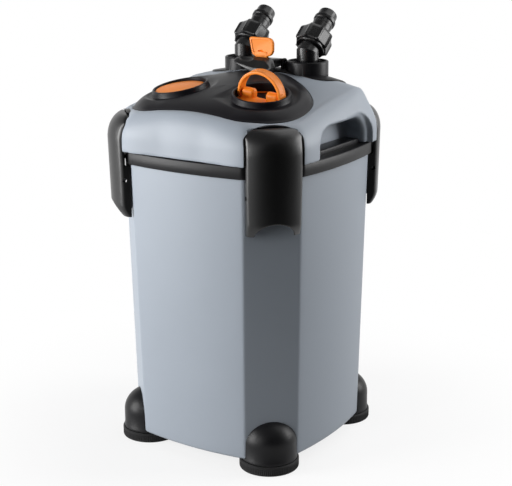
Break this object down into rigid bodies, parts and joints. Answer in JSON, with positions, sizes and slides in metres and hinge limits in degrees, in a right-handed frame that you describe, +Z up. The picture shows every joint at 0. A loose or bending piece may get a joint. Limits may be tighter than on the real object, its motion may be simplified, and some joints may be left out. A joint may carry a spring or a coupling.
{
  "type": "canister filter",
  "caption": "Square-bodied aquarium canister filter with corner toggle latches, a domed pump head with side hand recesses, a prime button, a bail cap and angled hose taps.",
  "frame": {"origin": "middle of the footprint, on the floor that the four foot pads stand on", "axes": "+Z up through the body; -Y is the front, with the prime button and cap; +X and -X are the sides with the hand recesses"},
  "size_m": [0.2724, 0.2765, 0.523],
  "materials": {
    "grey_shell": "satin slate-grey moulded plastic",
    "black_shell": "satin black moulded plastic",
    "rubber": "matt black rubber",
    "orange": "semi-gloss orange plastic",
    "inner_plastic": "plain moulded plastic",
    "foam": "open-cell filter foam",
    "ceramic": "polished ceramic",
    "steel": "plain stainless steel"
  },
  "bodies": {
    "filter_body": {"canister": "grey_shell", "foot_right_rear": "black_shell", "foot_pad_right_rear": "rubber", "foot_left_rear": "black_shell", "foot_pad_left_rear": "rubber", "foot_left_front": "black_shell", "foot_pad_left_front": "rubber", "foot_right_front": "black_shell", "foot_pad_right_front": "rubber", "seal_ring": "rubber", "head_base": "black_shell", "head_cover": "grey_shell", "top_panel": "black_shell", "tap_block": "black_shell", "cable_gland": "rubber", "motor_housing": "inner_plastic", "impeller_shaft": "ceramic", "impeller_cover": "inner_plastic", "media_basket_1": "inner_plastic", "media_pad_1": "foam", "media_basket_2": "inner_plastic", "media_pad_2": "foam", "media_basket_3": "inner_plastic", "media_pad_3": "foam", "intake_tube": "inner_plastic", "anchor_pin_right_rear": "steel", "anchor_pin_left_rear": "steel", "anchor_pin_left_front": "steel", "anchor_pin_right_front": "steel", "prime_spring": "steel", "primer_barrel": "inner_plastic", "lever_axle": "steel"},
    "link_right_rear": {"latch_link_right_rear": "black_shell"},
    "lever_right_rear": {"latch_lever_right_rear": "black_shell", "lever_pin_right_rear": "steel"},
    "link_left_rear": {"latch_link_left_rear": "black_shell"},
    "lever_left_rear": {"latch_lever_left_rear": "black_shell", "lever_pin_left_rear": "steel"},
    "link_left_front": {"latch_link_left_front": "black_shell"},
    "lever_left_front": {"latch_lever_left_front": "black_shell", "lever_pin_left_front": "steel"},
    "link_right_front": {"latch_link_right_front": "black_shell"},
    "lever_right_front": {"latch_lever_right_front": "black_shell", "lever_pin_right_front": "steel"},
    "prime_button": {"prime_button": "orange"},
    "service_cap": {"service_cap": "orange"},
    "cap_bail": {"cap_bail": "orange"},
    "release_lever": {"release_lever": "black_shell"},
    "lock_tab": {"lock_tab": "orange"},
    "elbow_left": {"elbow_left": "black_shell", "hose_tail_left": "black_shell"},
    "union_nut_left": {"union_nut_left": "black_shell"},
    "elbow_right": {"elbow_right": "black_shell", "hose_tail_right": "black_shell"},
    "union_nut_right": {"union_nut_right": "black_shell"},
    "impeller": {"impeller": "inner_plastic"}
  },
  "joints": [
    {"name": "latch_link_swing_right_rear", "type": "hinge", "parent": "filter_body", "child": "link_right_rear", "pos_m": [0.10931, 0.10931, 0.307], "axis": [-0.7071, 0.7071, 0], "range_deg": [0, 90]},
    {"name": "latch_lever_turn_right_rear", "type": "hinge", "parent": "link_right_rear", "child": "lever_right_rear", "pos_m": [0.10747, 0.10747, 0.3351], "axis": [-0.7071, 0.7071, 0], "range_deg": [-108, 0]},
    {"name": "latch_link_swing_left_rear", "type": "hinge", "parent": "filter_body", "child": "link_left_rear", "pos_m": [-0.10931, 0.10931, 0.307], "axis": [-0.7071, -0.7071, 0], "range_deg": [0, 90]},
    {"name": "latch_lever_turn_left_rear", "type": "hinge", "parent": "link_left_rear", "child": "lever_left_rear", "pos_m": [-0.10747, 0.10747, 0.3351], "axis": [-0.7071, -0.7071, 0], "range_deg": [-108, 0]},
    {"name": "latch_link_swing_left_front", "type": "hinge", "parent": "filter_body", "child": "link_left_front", "pos_m": [-0.10931, -0.10931, 0.307], "axis": [0.7071, -0.7071, 0], "range_deg": [0, 90]},
    {"name": "latch_lever_turn_left_front", "type": "hinge", "parent": "link_left_front", "child": "lever_left_front", "pos_m": [-0.10747, -0.10747, 0.3351], "axis": [0.7071, -0.7071, 0], "range_deg": [-108, 0]},
    {"name": "latch_link_swing_right_front", "type": "hinge", "parent": "filter_body", "child": "link_right_front", "pos_m": [0.10931, -0.10931, 0.307], "axis": [0.7071, 0.7071, 0], "range_deg": [0, 90]},
    {"name": "latch_lever_turn_right_front", "type": "hinge", "parent": "link_right_front", "child": "lever_right_front", "pos_m": [0.10747, -0.10747, 0.3351], "axis": [0.7071, 0.7071, 0], "range_deg": [-108, 0]},
    {"name": "prime_press", "type": "slide", "parent": "filter_body", "child": "prime_button", "axis": [0.1082, 0.1675, -0.9799], "range_m": [0, 0.012], "stiffness_N_per_m": 350, "springref_m": -0.004, "deforming": ["prime_spring"]},
    {"name": "cap_twist", "type": "hinge", "parent": "filter_body", "child": "service_cap", "pos_m": [0.0575, -0.0546, 0.44071], "axis": [0.1082, -0.1675, 0.9799], "range_deg": [0, 90]},
    {"name": "bail_fold", "type": "hinge", "parent": "service_cap", "child": "cap_bail", "pos_m": [0.05721, -0.05415, 0.43806], "axis": [0.9941, 0.0182, -0.1066], "range_deg": [0, 88]},
    {"name": "release_lever_lift", "type": "hinge", "parent": "filter_body", "child": "release_lever", "pos_m": [0, 0.06, 0.45951], "axis": [1, 0, 0], "range_deg": [-40, 0]},
    {"name": "lock_tab_flip", "type": "hinge", "parent": "release_lever", "child": "lock_tab", "pos_m": [0, 0.036, 0.46351], "axis": [1, 0, 0], "range_deg": [-25, 0]},
    {"name": "elbow_swivel_left", "type": "hinge", "parent": "filter_body", "child": "elbow_left", "pos_m": [-0.0453, 0.0682, 0.46271], "axis": [0, 0, 1], "range_deg": [-30, 30]},
    {"name": "union_nut_turn_left", "type": "hinge", "parent": "elbow_left", "child": "union_nut_left", "pos_m": [-0.0453, 0.0682, 0.47241], "axis": [0, 0.766, 0.6428], "continuous": true},
    {"name": "elbow_swivel_right", "type": "hinge", "parent": "filter_body", "child": "elbow_right", "pos_m": [0.0453, 0.0682, 0.46271], "axis": [0, 0, 1], "range_deg": [-30, 30]},
    {"name": "union_nut_turn_right", "type": "hinge", "parent": "elbow_right", "child": "union_nut_right", "pos_m": [0.0453, 0.0682, 0.47241], "axis": [0, 0.766, 0.6428], "continuous": true},
    {"name": "impeller_spin", "type": "hinge", "parent": "filter_body", "child": "impeller", "pos_m": [0, 0.006, 0.3596], "axis": [0, 0, 1], "continuous": true}
  ],
  "couplings": [
    {"joint": "latch_lever_turn_right_rear", "follows": "latch_link_swing_right_rear", "ratio": -1.2},
    {"joint": "latch_lever_turn_left_rear", "follows": "latch_link_swing_left_rear", "ratio": -1.2},
    {"joint": "latch_lever_turn_left_front", "follows": "latch_link_swing_left_front", "ratio": -1.2},
    {"joint": "latch_lever_turn_right_front", "follows": "latch_link_swing_right_front", "ratio": -1.2}
  ]
}
